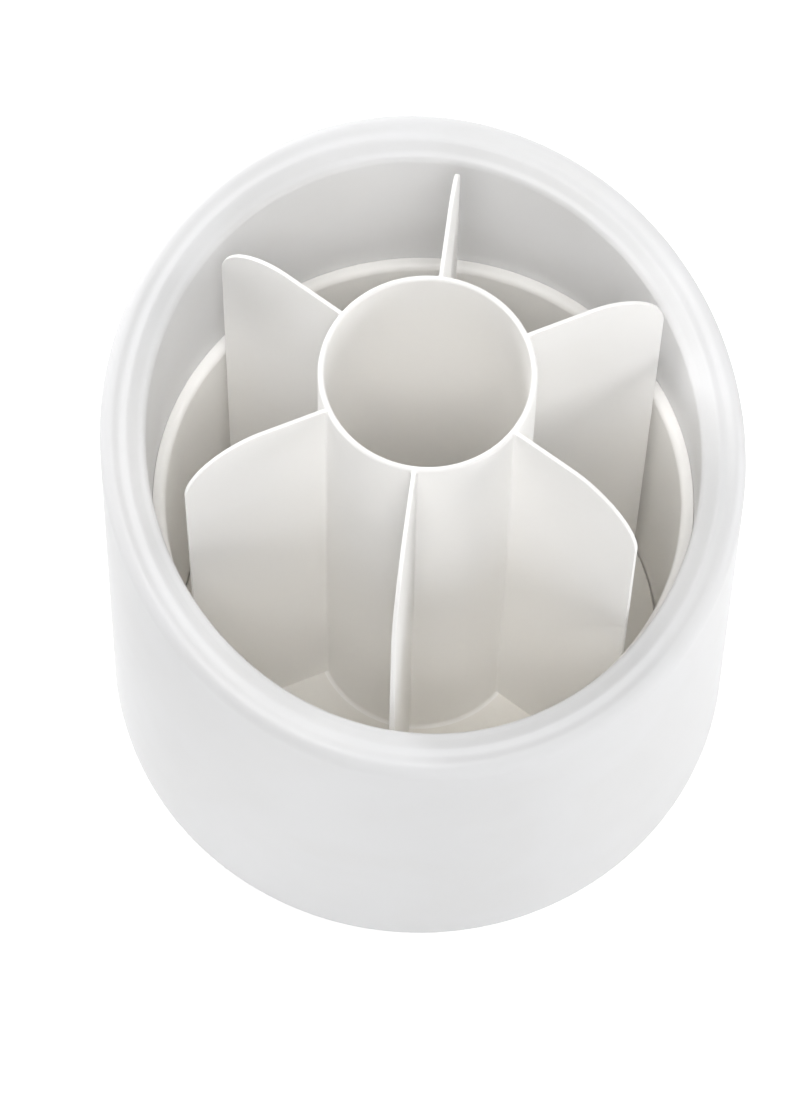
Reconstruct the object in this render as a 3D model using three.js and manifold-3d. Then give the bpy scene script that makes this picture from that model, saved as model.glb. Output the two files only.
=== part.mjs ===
// Round upright holder with a slanted mouth: a fixed outer shell on a screwed base plate, an
// inner cup that spins on a ring of balls, and a lift-out divider with a tube and six fins.
import * as THREE from 'three';
import { mergeVertices } from 'three/addons/utils/BufferGeometryUtils.js';
import Module from 'manifold-3d';

const wasm = await Module();
wasm.setup();

// Overall sizes, in millimetres, +Z up, standing on Z = 0, front towards -Y.
const MOUTH_R = 60;
const TOTAL_H = 129;
const LIP_MID_H = 101;
const SLANT = 0.3;
const SLANT_TURN_DEG = 19;
const GAP = 0.3;

// Outer shell.
const FOOT_FLARE = 2.4;
const FOOT_LIFT = 1.6;
const FOOT_ROUND = 2.6;
const SHELL_WALL = 2.3;
const LIP_W = 8.5;
const LIP_T = 2.8;
const SKIRT_WALL = 1.8;
const SKIRT_OVERLAP = 10;
const BEAD_W = 2.2;
const BEAD_DROP = 3;
const GROOVE_W = 2.2;
const GROOVE_DEPTH = 0.75;
const LIP_FALL = 1.2;
const EDGE_ROUND = 0.4;

// Inner cup.
const CUP_RIM_H = 76.3;
const CUP_WALL = 2.2;
const CUP_FLOOR_TOP = 8.6;
const CUP_FLOOR_T = 1.7;
const CUP_CORNER = 2;
const RIM_ROUND = 0.45;
const KEY_LEFT_DEG = -126;
const KEY_RIGHT_DEG = -66;
const KEY_W = 4;
const KEY_REACH = 2.1;
const KEY_H = 2.2;

// Base plate, pads and screws.
const PLATE_T = 2.6;
const COLLAR_R = 9.2;
const COLLAR_RISE = 1.4;
const PAD_COUNT = 4;
const PAD_R = 6;
const PAD_T = 2.6;
const PAD_INSET = 14;
const SCREW_COUNT = 4;
const SCREW_HEAD_R = 2.7;
const SCREW_HEAD_T = 1;
const SCREW_R = 1.2;
const SCREW_L = 10;
const BOSS_R = 3.4;
const BOSS_H = 18;

// Turning centre and ball ring.
const SPIGOT_R = 6;
const RUN_CLEAR = 0.06;
const WASHER_R = 8.2;
const WASHER_T = 0.8;
const PIVOT_HEAD_R = 2.9;
const PIVOT_HEAD_T = 1.5;
const PIVOT_R = 1.5;
const BALL_R = 1.5;
const BALL_COUNT = 8;
const TRACK_R = 30;
const TRACK_HALF_W = 3.4;
const TRACK_GAP = 1;
const BALL_CLEAR = 0.2;
const CAGE_T = 0.5;
const CAGE_HALF_W = 2.8;

// Lift-out divider.
const TUBE_R = 19.7;
const TUBE_DRAFT = 0.6;
const TUBE_WALL = 1.15;
const TRAY_T = 1.3;
const TRAY_CLEAR = 0.4;
const FIN_COUNT = 6;
const FIN_FIRST_DEG = -36;
const FIN_T = 1.1;
const FIN_DRAFT = 0.25;
const FIN_EDGE_GAP = 1.9;
const FIN_EDGE_DRAFT = 0.6;
const FIN_FLAT_R = 32.4;
const FIN_SHOULDER = 13.8;
const FIN_CURVE = 1.8;
const FIN_ROUND = 0.25;

// Resolution.
const ROUND_SEGS = 48;
const SMALL_SEGS = 24;
const ARC_STEPS = 4;

// Heights and radii that follow from the sizes above.
const PLATE_TOP = FOOT_LIFT + PLATE_T;
const TRACK_LOW = PLATE_TOP + 1;
const TRACK_HIGH = TRACK_LOW + TRACK_GAP;
const BALL_Z = (TRACK_LOW + TRACK_HIGH) / 2;
const FLOOR_UNDER = CUP_FLOOR_TOP - CUP_FLOOR_T;
const SPIGOT_END = PLATE_TOP - 0.6;
const PIVOT_HOLE_TOP = CUP_FLOOR_TOP - 0.9;
const CUP_OUT_R = MOUTH_R - LIP_W - GAP;
const CUP_IN_R = CUP_OUT_R - CUP_WALL;
const TRAY_LOW = CUP_FLOOR_TOP + GAP;
const TRAY_TOP = TRAY_LOW + TRAY_T;
const TRAY_R = CUP_IN_R - TRAY_CLEAR;
const DIVIDER_LOW = TRAY_TOP + GAP;
const FIN_OUT_R = CUP_IN_R - FIN_EDGE_GAP;
const FOOT_R = MOUTH_R + FOOT_FLARE;
const FOOT_IN_R = FOOT_R - SHELL_WALL - 0.2;
const PLATE_R = FOOT_IN_R - GAP;
const SCREW_CIRCLE_R = FOOT_IN_R - BOSS_R + 0.5;
const PAD_CIRCLE_R = PLATE_R - PAD_INSET;
const SLANT_X = -SLANT * Math.sin(THREE.MathUtils.degToRad(SLANT_TURN_DEG));
const SLANT_Y = SLANT * Math.cos(THREE.MathUtils.degToRad(SLANT_TURN_DEG));

// ---- shared helpers ----

// Signed volume of a closed indexed surface; negative when it faces inwards.
function signedVolume(p, index) {
  let sum = 0;
  for (let i = 0; i < index.length; i += 3) {
    const [a, b, c] = [index[i] * 3, index[i + 1] * 3, index[i + 2] * 3];
    sum += p[a] * (p[b + 1] * p[c + 2] - p[b + 2] * p[c + 1])
      + p[a + 1] * (p[b + 2] * p[c] - p[b] * p[c + 2])
      + p[a + 2] * (p[b] * p[c + 1] - p[b + 1] * p[c]);
  }
  return sum / 6;
}

// Closed solid of a surface, with its faces turned outwards.
function solidOf(surface) {
  surface.deleteAttribute('normal');
  surface.deleteAttribute('uv');
  const merged = mergeVertices(surface, 1e-4);
  const p = merged.attributes.position.array;
  const kept = [];
  for (let i = 0; i < merged.index.count; i += 3) {
    const [a, b, c] = [0, 1, 2].map((k) => merged.index.getX(i + k));
    if (a !== b && b !== c && c !== a) kept.push(a, b, c);
  }
  if (signedVolume(p, kept) < 0) kept.reverse();
  const mesh = new wasm.Mesh({
    numProp: 3,
    vertProperties: Float32Array.from(p),
    triVerts: Uint32Array.from(kept),
  });
  return new wasm.Manifold(mesh);
}

// Drawable surface of a finished solid.
function surfaceOf(solid) {
  const mesh = solid.getMesh();
  const surface = new THREE.BufferGeometry();
  surface.setAttribute('position', new THREE.BufferAttribute(mesh.vertProperties, 3));
  surface.setIndex(new THREE.BufferAttribute(mesh.triVerts, 1));
  surface.computeVertexNormals();
  return surface;
}

// Surface turned about +Z from a profile of [radius, height, share of the slant].
function turned(profile, segs = ROUND_SEGS) {
  const points = profile.map(([r, z]) => new THREE.Vector2(r, z));
  const surface = new THREE.LatheGeometry(points, segs).rotateX(Math.PI / 2);
  const place = surface.attributes.position;
  for (let i = 0; i < place.count; i += 1) {
    const share = profile[i % profile.length][2] ?? 0;
    const rise = share * (SLANT_X * place.getX(i) + SLANT_Y * place.getY(i));
    place.setZ(i, place.getZ(i) + rise);
  }
  return solidOf(surface);
}

// The same for a ring whose profile closes on itself.
function turnedRing(profile, segs = ROUND_SEGS) {
  return turned([...profile, profile[0]], segs);
}

// Points of a circular arc, angles in degrees.
function arc(r, z, radius, from, to, steps = ARC_STEPS) {
  return Array.from({ length: steps + 1 }, (_, i) => {
    const a = THREE.MathUtils.degToRad(from + ((to - from) * i) / steps);
    return [r + radius * Math.cos(a), z + radius * Math.sin(a)];
  });
}

// Upright round bar between two heights.
function bar(radius, low, high, x = 0, y = 0, segs = SMALL_SEGS) {
  const surface = new THREE.CylinderGeometry(radius, radius, high - low, segs);
  surface.rotateX(Math.PI / 2).translate(x, y, (low + high) / 2);
  return solidOf(surface);
}

// Block centred on a radius along +X, then turned about +Z.
function blockAt(radial, width, low, high, radius, degrees) {
  const surface = new THREE.BoxGeometry(radial, width, high - low);
  surface.translate(radius, 0, (low + high) / 2);
  surface.rotateZ(THREE.MathUtils.degToRad(degrees));
  return solidOf(surface);
}

// Places around a circle as [x, y, degrees].
function around(count, radius, firstDeg = 0) {
  return Array.from({ length: count }, (_, i) => {
    const deg = firstDeg + (360 * i) / count;
    const a = THREE.MathUtils.degToRad(deg);
    return [radius * Math.cos(a), radius * Math.sin(a), deg];
  });
}

const joinAll = (solid, extras) => extras.reduce((sum, extra) => sum.add(extra), solid);
const cutAll = (solid, tools) => tools.reduce((rest, tool) => rest.subtract(tool), solid);

// ---- housing ----

const shellScrewPlaces = around(SCREW_COUNT, SCREW_CIRCLE_R, 0);
const padPlaces = around(PAD_COUNT, PAD_CIRCLE_R, 180 / PAD_COUNT);

// Upper face of the lip from the outer bead inwards, heights relative to the slanted plane.
function lipProfile() {
  const crest = MOUTH_R - BEAD_W;
  const valley = crest - GROOVE_W * 0.6;
  const inner = MOUTH_R - LIP_W;
  const onPlane = (r, t) => [r, LIP_MID_H + t, 1];
  const bead = Array.from({ length: ARC_STEPS + 1 }, (_, i) => {
    const a = (Math.PI / 2) * (i / ARC_STEPS);
    return onPlane(crest + BEAD_W * Math.cos(a), BEAD_DROP * (Math.sin(a) - 1));
  });
  return [
    ...bead,
    onPlane(crest - GROOVE_W * 0.3, -GROOVE_DEPTH * 0.35),
    onPlane(valley, -GROOVE_DEPTH),
    onPlane(valley - GROOVE_W * 0.3, -GROOVE_DEPTH * 0.6),
    onPlane(valley - GROOVE_W * 0.6, -GROOVE_DEPTH * 0.45),
    onPlane(inner + EDGE_ROUND * 2, -LIP_FALL),
    onPlane(inner + EDGE_ROUND * 0.4, -LIP_FALL - EDGE_ROUND * 0.3),
    onPlane(inner, -LIP_FALL - EDGE_ROUND * 1.2),
  ];
}

function outerShell() {
  const skirtIn = MOUTH_R - LIP_W;
  const skirtOut = skirtIn + SKIRT_WALL;
  const skirtLow = CUP_RIM_H - SKIRT_OVERLAP;
  const wallIn = MOUTH_R - SHELL_WALL;
  const under = LIP_MID_H - LIP_T;
  const foot = arc(FOOT_R - FOOT_ROUND, FOOT_LIFT + FOOT_ROUND, FOOT_ROUND, -90, 0);
  const ring = turnedRing([
    [FOOT_IN_R, FOOT_LIFT],
    ...foot,
    ...lipProfile(),
    [skirtIn, skirtLow],
    [skirtOut, skirtLow],
    [skirtOut, under - 1, 1],
    [skirtOut + 1, under, 1],
    [wallIn - 1.2, under, 1],
    [wallIn, under - 1.2, 1],
  ]);
  const bossLow = PLATE_TOP + GAP;
  const bosses = shellScrewPlaces.map(([x, y]) => bar(BOSS_R, bossLow, bossLow + BOSS_H, x, y));
  const pilots = shellScrewPlaces.map(([x, y]) => (
    bar(SCREW_R + GAP, bossLow - 1, bossLow + SCREW_L, x, y)
  ));
  return cutAll(joinAll(ring, bosses), pilots);
}

// Half-round groove that a ball ring runs in, opening up (+1) or down (-1).
function trackGroove(face, side) {
  const reach = BALL_R + BALL_CLEAR;
  const half = Math.sqrt(reach ** 2 - (face - BALL_Z) ** 2);
  const edge = THREE.MathUtils.radToDeg(Math.atan2(Math.abs(face - BALL_Z), half));
  const from = side > 0 ? 180 + edge : 180 - edge;
  const to = side > 0 ? 360 - edge : edge;
  return arc(TRACK_R, BALL_Z, reach, from, to);
}

function basePlate() {
  const hole = SPIGOT_R + RUN_CLEAR;
  const collarTop = PLATE_TOP + COLLAR_RISE;
  const plate = turnedRing([
    [hole, SPIGOT_END],
    [WASHER_R + 0.6, SPIGOT_END],
    [WASHER_R + 0.6, FOOT_LIFT],
    [PLATE_R, FOOT_LIFT],
    [PLATE_R, PLATE_TOP],
    [TRACK_R + TRACK_HALF_W, PLATE_TOP],
    [TRACK_R + TRACK_HALF_W, TRACK_LOW],
    ...trackGroove(TRACK_LOW, 1).reverse(),
    [TRACK_R - TRACK_HALF_W, TRACK_LOW],
    [TRACK_R - TRACK_HALF_W, PLATE_TOP],
    [COLLAR_R, PLATE_TOP],
    [COLLAR_R, collarTop],
    [hole, collarTop],
  ]);
  const pockets = padPlaces.map(([x, y]) => bar(PAD_R + GAP, -1, PAD_T + GAP, x, y));
  const sinks = shellScrewPlaces.map(([x, y]) => (
    bar(SCREW_HEAD_R + GAP, -1, FOOT_LIFT + SCREW_HEAD_T + 0.5, x, y)
  ));
  const holes = shellScrewPlaces.map(([x, y]) => bar(SCREW_R + GAP, -1, PLATE_TOP + 1, x, y));
  return cutAll(plate, [...pockets, ...sinks, ...holes]);
}

function footPad([x, y]) {
  return turned([
    [0, 0],
    [PAD_R - 0.7, 0],
    [PAD_R, 0.6],
    [PAD_R, PAD_T],
    [0, PAD_T],
  ], SMALL_SEGS).translate([x, y, 0]);
}

// Pan-head screw standing point up on its head, with a cross recess in the head.
function screw(headR, headT, shankR, length, low, [x, y]) {
  const top = low + headT;
  const tip = top + length;
  const body = turned([
    [0, low],
    [headR * 0.6, low],
    [headR * 0.92, low + headT * 0.3],
    [headR, low + headT * 0.75],
    [headR, top],
    [shankR, top],
    [shankR, tip - shankR],
    [shankR * 0.3, tip],
    [0, tip],
  ], SMALL_SEGS);
  const slotW = headR * 0.24;
  const slots = [0, 90].map((deg) => (
    blockAt(headR * 1.1, slotW, low - 1, low + headT * 0.55, 0, deg)
  ));
  return cutAll(body, slots).translate([x, y, 0]);
}

const shellScrew = (place) => (
  screw(SCREW_HEAD_R, SCREW_HEAD_T, SCREW_R, SCREW_L, FOOT_LIFT + 0.2, place)
);

// ---- spinning drum ----

function keys(grow, low, high) {
  const wide = KEY_W + 2 * grow;
  const reach = KEY_REACH + grow + 1;
  return [KEY_LEFT_DEG, KEY_RIGHT_DEG].map((deg) => (
    blockAt(reach, wide, low, high, CUP_IN_R + 1 - reach / 2, deg)
  ));
}

function innerCup() {
  const under = [
    [0, PIVOT_HOLE_TOP],
    [PIVOT_R + GAP, PIVOT_HOLE_TOP],
    [PIVOT_R + GAP, SPIGOT_END],
    [SPIGOT_R, SPIGOT_END],
    [SPIGOT_R, FLOOR_UNDER],
    [TRACK_R - TRACK_HALF_W, FLOOR_UNDER],
    [TRACK_R - TRACK_HALF_W, TRACK_HIGH],
    ...trackGroove(TRACK_HIGH, -1),
    [TRACK_R + TRACK_HALF_W, TRACK_HIGH],
    [TRACK_R + TRACK_HALF_W, FLOOR_UNDER],
  ];
  const corner = arc(CUP_OUT_R - CUP_CORNER, FLOOR_UNDER + CUP_CORNER, CUP_CORNER, -90, 0);
  const rimOut = arc(CUP_OUT_R - RIM_ROUND, CUP_RIM_H - RIM_ROUND, RIM_ROUND, 0, 90, 3);
  const rimIn = arc(CUP_IN_R + RIM_ROUND, CUP_RIM_H - RIM_ROUND, RIM_ROUND, 90, 180, 3);
  const inside = [
    [CUP_IN_R, CUP_FLOOR_TOP],
    [0, CUP_FLOOR_TOP],
  ];
  const cup = turned([...under, ...corner, ...rimOut, ...rimIn, ...inside]);
  return joinAll(cup, keys(0, CUP_FLOOR_TOP - 0.5, CUP_FLOOR_TOP + KEY_H));
}

function pivotWasher() {
  const high = SPIGOT_END - GAP;
  return turnedRing([
    [PIVOT_R + GAP, high - WASHER_T],
    [WASHER_R, high - WASHER_T],
    [WASHER_R, high],
    [PIVOT_R + GAP, high],
  ], SMALL_SEGS);
}

function pivotScrew() {
  const headTop = SPIGOT_END - 2 * GAP - WASHER_T;
  const length = PIVOT_HOLE_TOP - GAP - headTop;
  return screw(PIVOT_HEAD_R, PIVOT_HEAD_T, PIVOT_R, length, headTop - PIVOT_HEAD_T, [0, 0]);
}

// ---- ball ring ----

const ballPlaces = around(BALL_COUNT, TRACK_R, 90 / BALL_COUNT);

function ballCage() {
  const ring = turnedRing([
    [TRACK_R - CAGE_HALF_W, BALL_Z - CAGE_T / 2],
    [TRACK_R + CAGE_HALF_W, BALL_Z - CAGE_T / 2],
    [TRACK_R + CAGE_HALF_W, BALL_Z + CAGE_T / 2],
    [TRACK_R - CAGE_HALF_W, BALL_Z + CAGE_T / 2],
  ]);
  const seats = ballPlaces.map(([x, y]) => (
    bar(BALL_R + BALL_CLEAR, BALL_Z - 1, BALL_Z + 1, x, y, 16)
  ));
  return cutAll(ring, seats);
}

function ball([x, y]) {
  return solidOf(new THREE.SphereGeometry(BALL_R, 12, 8)).translate([x, y, BALL_Z]);
}

// ---- lift-out divider ----

// Outer radius of the tube at a height: it narrows slightly upwards.
function tubeRadiusAt(z) {
  return TUBE_R + TUBE_DRAFT * ((TOTAL_H - z) / (TOTAL_H - DIVIDER_LOW));
}

function centreTube() {
  const round = TUBE_WALL / 2;
  return turnedRing([
    [tubeRadiusAt(DIVIDER_LOW), DIVIDER_LOW],
    ...arc(TUBE_R - round, TOTAL_H - round, round, 0, 180),
    [TUBE_R - TUBE_WALL, DIVIDER_LOW],
  ]);
}

function dividerTray() {
  const disc = turned([
    [0, TRAY_LOW],
    [TRAY_R - 0.3, TRAY_LOW],
    [TRAY_R, TRAY_LOW + 0.3],
    [TRAY_R, TRAY_TOP - 0.3],
    [TRAY_R - 0.3, TRAY_TOP],
    [0, TRAY_TOP],
  ]);
  return cutAll(disc, keys(0.4, TRAY_LOW - 1, TRAY_TOP + 1));
}

// Outline of a fin in radius and height: flat top, rounded shoulder, upright outer edge.
function finOutline() {
  const shoulderLow = TOTAL_H - FIN_SHOULDER;
  const span = FIN_OUT_R - FIN_FLAT_R;
  const steps = 12;
  const shoulder = Array.from({ length: steps + 1 }, (_, i) => {
    const u = Math.sin((Math.PI / 2) * (i / steps)) ** (2 / FIN_CURVE);
    const fall = (1 - u ** FIN_CURVE) ** (1 / FIN_CURVE);
    return [FIN_FLAT_R + span * u, shoulderLow + FIN_SHOULDER * fall];
  });
  return [
    [tubeRadiusAt(DIVIDER_LOW) + GAP, DIVIDER_LOW],
    [tubeRadiusAt(TOTAL_H) + GAP, TOTAL_H],
    ...shoulder,
    [FIN_OUT_R + FIN_EDGE_DRAFT, DIVIDER_LOW],
  ];
}

function fin(degrees) {
  const shape = new THREE.Shape(finOutline().map(([r, z]) => new THREE.Vector2(r, z)));
  const surface = new THREE.ExtrudeGeometry(shape, {
    depth: FIN_T - 2 * FIN_ROUND,
    bevelEnabled: true,
    bevelThickness: FIN_ROUND,
    bevelSize: FIN_ROUND,
    bevelOffset: -FIN_ROUND,
    bevelSegments: 2,
  });
  surface.translate(0, 0, FIN_ROUND - FIN_T / 2).rotateX(Math.PI / 2);
  const place = surface.attributes.position;
  for (let i = 0; i < place.count; i += 1) {
    const depth = (TOTAL_H - place.getZ(i)) / (TOTAL_H - DIVIDER_LOW);
    place.setY(i, place.getY(i) * (1 + FIN_DRAFT * depth));
  }
  surface.rotateZ(THREE.MathUtils.degToRad(degrees));
  return solidOf(surface);
}

// ---- assembly ----

const WHITE = { color: 0xf2f2f0, roughness: 0.38, metalness: 0 };
const BASE_WHITE = { color: 0xe2e2df, roughness: 0.5, metalness: 0 };
const RUBBER = { color: 0x2b2b2d, roughness: 0.85, metalness: 0 };
const STEEL = { color: 0xa9adb2, roughness: 0.3, metalness: 1 };
const NATURAL = { color: 0xdcdccf, roughness: 0.55, metalness: 0 };

const part = new THREE.Group();
part.name = 'brush_holder';

function place(name, solid, look) {
  const mesh = new THREE.Mesh(surfaceOf(solid), new THREE.MeshStandardMaterial(look));
  mesh.name = name;
  part.add(mesh);
}

place('outer_shell', outerShell(), WHITE);
place('base_plate', basePlate(), BASE_WHITE);
padPlaces.forEach((spot, i) => place(`foot_pad_${i + 1}`, footPad(spot), RUBBER));
shellScrewPlaces.forEach((spot, i) => place(`shell_screw_${i + 1}`, shellScrew(spot), STEEL));
place('inner_cup', innerCup(), WHITE);
place('pivot_washer', pivotWasher(), STEEL);
place('pivot_screw', pivotScrew(), STEEL);
place('ball_cage', ballCage(), NATURAL);
ballPlaces.forEach((spot, i) => place(`ball_${i + 1}`, ball(spot), STEEL));
place('centre_tube', centreTube(), WHITE);
place('divider_tray', dividerTray(), WHITE);
around(FIN_COUNT, 0, FIN_FIRST_DEG).forEach(([, , degrees], i) => {
  place(`fin_${i + 1}`, fin(degrees), WHITE);
});

export default part;
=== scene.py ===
import math

import bmesh
import bpy
from bpy.props import FloatProperty, FloatVectorProperty, IntProperty, PointerProperty
from mathutils import Matrix, Vector


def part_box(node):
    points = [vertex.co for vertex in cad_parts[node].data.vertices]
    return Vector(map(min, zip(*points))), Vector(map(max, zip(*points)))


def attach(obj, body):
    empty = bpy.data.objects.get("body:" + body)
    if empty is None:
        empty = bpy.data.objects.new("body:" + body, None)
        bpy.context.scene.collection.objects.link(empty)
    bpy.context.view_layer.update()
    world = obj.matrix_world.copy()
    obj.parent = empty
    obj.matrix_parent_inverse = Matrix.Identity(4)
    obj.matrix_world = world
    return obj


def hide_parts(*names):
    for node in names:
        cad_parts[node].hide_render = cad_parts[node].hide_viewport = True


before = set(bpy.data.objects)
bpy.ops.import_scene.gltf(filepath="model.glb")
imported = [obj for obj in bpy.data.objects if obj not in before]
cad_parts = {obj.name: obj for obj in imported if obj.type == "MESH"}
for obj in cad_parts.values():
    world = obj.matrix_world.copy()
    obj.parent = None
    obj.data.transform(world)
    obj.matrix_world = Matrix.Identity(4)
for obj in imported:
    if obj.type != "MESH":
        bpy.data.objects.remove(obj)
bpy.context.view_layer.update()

bl_info = {
    "name": "Slant-Mouthed Brush Holder",
    "version": (1, 0, 0),
    "blender": (4, 5, 0),
    "location": "View3D > Sidebar > Holder",
    "description": "Makes a spinning brush holder with a slanted mouth and a lift-out divider",
    "category": "Add Mesh",
}

MM = 0.001

# Places and sizes that the frame already holds.
SHELL_LOW, SHELL_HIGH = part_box("outer_shell")
PLATE_LOW, PLATE_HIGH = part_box("base_plate")
PAD_LOW, PAD_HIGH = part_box("foot_pad_1")
SCREW_LOW, SCREW_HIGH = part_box("shell_screw_1")
CUP_LOW, CUP_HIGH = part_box("inner_cup")
WASHER_LOW, WASHER_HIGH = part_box("pivot_washer")
PIVOT_LOW, PIVOT_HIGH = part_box("pivot_screw")
BALL_LOW, BALL_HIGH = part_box("ball_1")
TUBE_LOW, TUBE_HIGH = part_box("centre_tube")
TRAY_LOW, TRAY_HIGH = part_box("divider_tray")
PAD_X, PAD_Y = ((PAD_LOW[i] + PAD_HIGH[i]) / 2 for i in (0, 1))
PAD_CIRCLE = math.hypot(PAD_X, PAD_Y)
PAD_TURN = math.atan2(PAD_Y, PAD_X)
SCREW_CIRCLE = (SCREW_LOW[0] + SCREW_HIGH[0]) / 2
BALL_MIDDLE = (BALL_LOW[2] + BALL_HIGH[2]) / 2

# Sizes that hidden pieces share.
SCREW_COUNT = 4
PAD_COUNT = 4
PILOT_RADIUS = 1.5 * MM
PIVOT_HOLE_RADIUS = 1.8 * MM
HUB_RISE = 1.4 * MM

# Where the lamps hang and what they look at. Each one's power is a setting of the same name.
LAMPS = {
    "key": (0.0, -0.55, 1.25),
    "right": (1.1, 0.1, 0.35),
    "left": (-1.1, 0.1, 0.35),
    "back": (-0.6, 0.8, 0.8),
    "front": (0.0, -1.2, 0.3),
}
LAMP_AIM = (0.0, 0.0, 0.06)
FLOOR_HALF_WIDTH = 3.0
LIGHT_BOUNCES = 12


# ---- settings ----

def length(name, description, default):
    """A length in metres with its unit."""
    return FloatProperty(
        name=name, description=description, default=default,
        unit="LENGTH", subtype="DISTANCE", precision=5,
    )


def angle(name, description, degrees):
    """An angle, given in degrees and held in radians."""
    return FloatProperty(
        name=name, description=description, default=math.radians(degrees),
        unit="ROTATION", subtype="ANGLE",
    )


def share(name, description, default):
    """A plain number from 0 to 1."""
    return FloatProperty(
        name=name, description=description, default=default,
        min=0.0, max=1.0, subtype="FACTOR",
    )


def power(name, description, default):
    """Power of a lamp in watts."""
    return FloatProperty(name=name, description=description, default=default, unit="POWER")


def colour(name, description, default):
    """A linear colour."""
    return FloatVectorProperty(
        name=name, description=description, default=default,
        size=3, min=0.0, max=1.0, subtype="COLOR",
    )


class HolderShellSizes(bpy.types.PropertyGroup):
    """Sizes of the fixed shell and its slanted mouth."""

    mouth_radius: length("Mouth radius", "Outer radius of the shell at its lip", 60 * MM)
    foot_radius: length("Foot radius", "Outer radius of the shell at its foot", SHELL_HIGH[0])
    foot_lift: length("Foot lift", "Height of the shell's lower edge", SHELL_LOW[2])
    foot_round: length("Foot rounding", "Radius of the shell's lower outer edge", 2.6 * MM)
    wall: length("Wall", "Thickness of the shell's wall", 2.3 * MM)
    lip_height: length("Lip height", "Height of the slanted mouth at the middle", 101 * MM)
    slant: FloatProperty(
        name="Slant", description="Rise of the mouth for each unit across", default=0.3,
    )
    slant_turn: angle("Slant turn", "Turn of the high side from straight back to the left", 19)
    lip_width: length("Lip width", "Width of the mouth's flat rim", 8.5 * MM)
    lip_thickness: length("Lip thickness", "Thickness of the mouth's rim", 2.8 * MM)
    bead_width: length("Bead width", "Width of the rounded outer bead", 2.3 * MM)
    bead_drop: length("Bead drop", "Height of the rounded outer bead", 2.7 * MM)
    groove_width: length("Groove width", "Width of the groove inside the bead", 2.8 * MM)
    groove_depth: length("Groove depth", "Depth of the groove inside the bead", 0.34 * MM)
    lip_fall: length("Lip fall", "Drop of the rim's flat band towards its inner edge", 1.2 * MM)
    edge_round: length("Edge rounding", "Radius of the rim's inner edge", 1.3 * MM)
    skirt_wall: length("Skirt wall", "Thickness of the skirt inside the lip", 1.8 * MM)
    skirt_overlap: length("Skirt overlap", "How far the skirt covers the inner cup", 10 * MM)
    boss_radius: length("Boss radius", "Radius of a screw boss", 3.4 * MM)
    boss_height: length("Boss height", "Height of a screw boss", 18 * MM)


class HolderCupSizes(bpy.types.PropertyGroup):
    """Sizes of the spinning inner cup and of what it turns on."""

    wall: length("Wall", "Thickness of the cup's wall", 2.2 * MM)
    floor_top: length("Floor top", "Height of the cup's floor", 8.6 * MM)
    floor_thickness: length("Floor thickness", "Thickness of the cup's floor", 1.7 * MM)
    corner: length("Corner", "Radius of the cup's lower outer edge", 2 * MM)
    rim_round: length("Rim rounding", "Radius of the cup rim's inner edge", 1.3 * MM)
    rim_step: length("Rim step", "How far the rim stands out towards the skirt", 0.22 * MM)
    rim_height: length("Rim height", "Height of the rim's wider band", 1.6 * MM)
    key_width: length("Key width", "Width of a key that drives the divider", 4 * MM)
    key_reach: length("Key reach", "How far a key stands in from the wall", 2.1 * MM)
    key_height: length("Key height", "Height of a key above the floor", 2.2 * MM)
    key_left: angle("Left key", "Place of the left key round the cup", -126)
    key_right: angle("Right key", "Place of the right key round the cup", -66)
    spigot_radius: length("Spigot radius", "Radius of the turning centre", 6 * MM)
    track_radius: length(
        "Track radius", "Radius of the ball ring",
        math.hypot((BALL_LOW[0] + BALL_HIGH[0]) / 2, (BALL_LOW[1] + BALL_HIGH[1]) / 2),
    )
    track_half_width: length("Track half width", "Half the width of a raised track", 3.4 * MM)
    ball_radius: length("Ball radius", "Radius of a ball", (BALL_HIGH[2] - BALL_LOW[2]) / 2)
    ball_clear: length("Ball clearance", "Room round a ball in its groove", 0.2 * MM)
    ball_count: IntProperty(name="Balls", description="How many balls run in the track", default=8)
    track_gap: length("Track gap", "Gap between the two tracks", 1 * MM)


class HolderDividerSizes(bpy.types.PropertyGroup):
    """Sizes of the lift-out divider."""

    tube_radius: length("Tube radius", "Outer radius of the tube at its top", 19.7 * MM)
    tube_foot_radius: length("Tube foot", "Outer radius of the tube at its foot", TUBE_HIGH[0])
    tube_wall: length("Tube wall", "Thickness of the tube's wall at its top", 1.15 * MM)
    tube_top: length("Tube top", "Height of the tube's rim", TUBE_HIGH[2])
    tube_fillet: length("Foot fillet", "Radius between the tube and the tray", 0.8 * MM)
    fin_count: IntProperty(name="Fins", description="How many fins stand round the tube", default=6)
    fin_first: angle("First fin", "Place of the first fin round the tube", -36)
    fin_thickness: length("Fin thickness", "Thickness of a fin at its top", 0.8 * MM)
    fin_draft: share("Fin draft", "How much thicker a fin is at its foot", 0.7)
    fin_reach: length("Fin reach", "Radius of a fin's upright outer edge", 47.1 * MM)
    fin_edge_draft: length("Edge draft", "How much further the edge reaches at its foot", 0.6 * MM)
    fin_flat: length("Fin flat", "Radius where the shoulder starts to fall", 32.4 * MM)
    fin_shoulder: length("Fin shoulder", "How far the shoulder falls", 13.8 * MM)
    fin_curve: FloatProperty(
        name="Shoulder curve", description="Fullness of the shoulder, 2 is an ellipse", default=1.8,
    )
    fin_fillet: length("Fin fillet", "Radius between a fin and the tube", 0.5 * MM)
    fin_edge_round: length("Edge rounding", "Radius of a fin's edges", 0.32 * MM)


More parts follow.
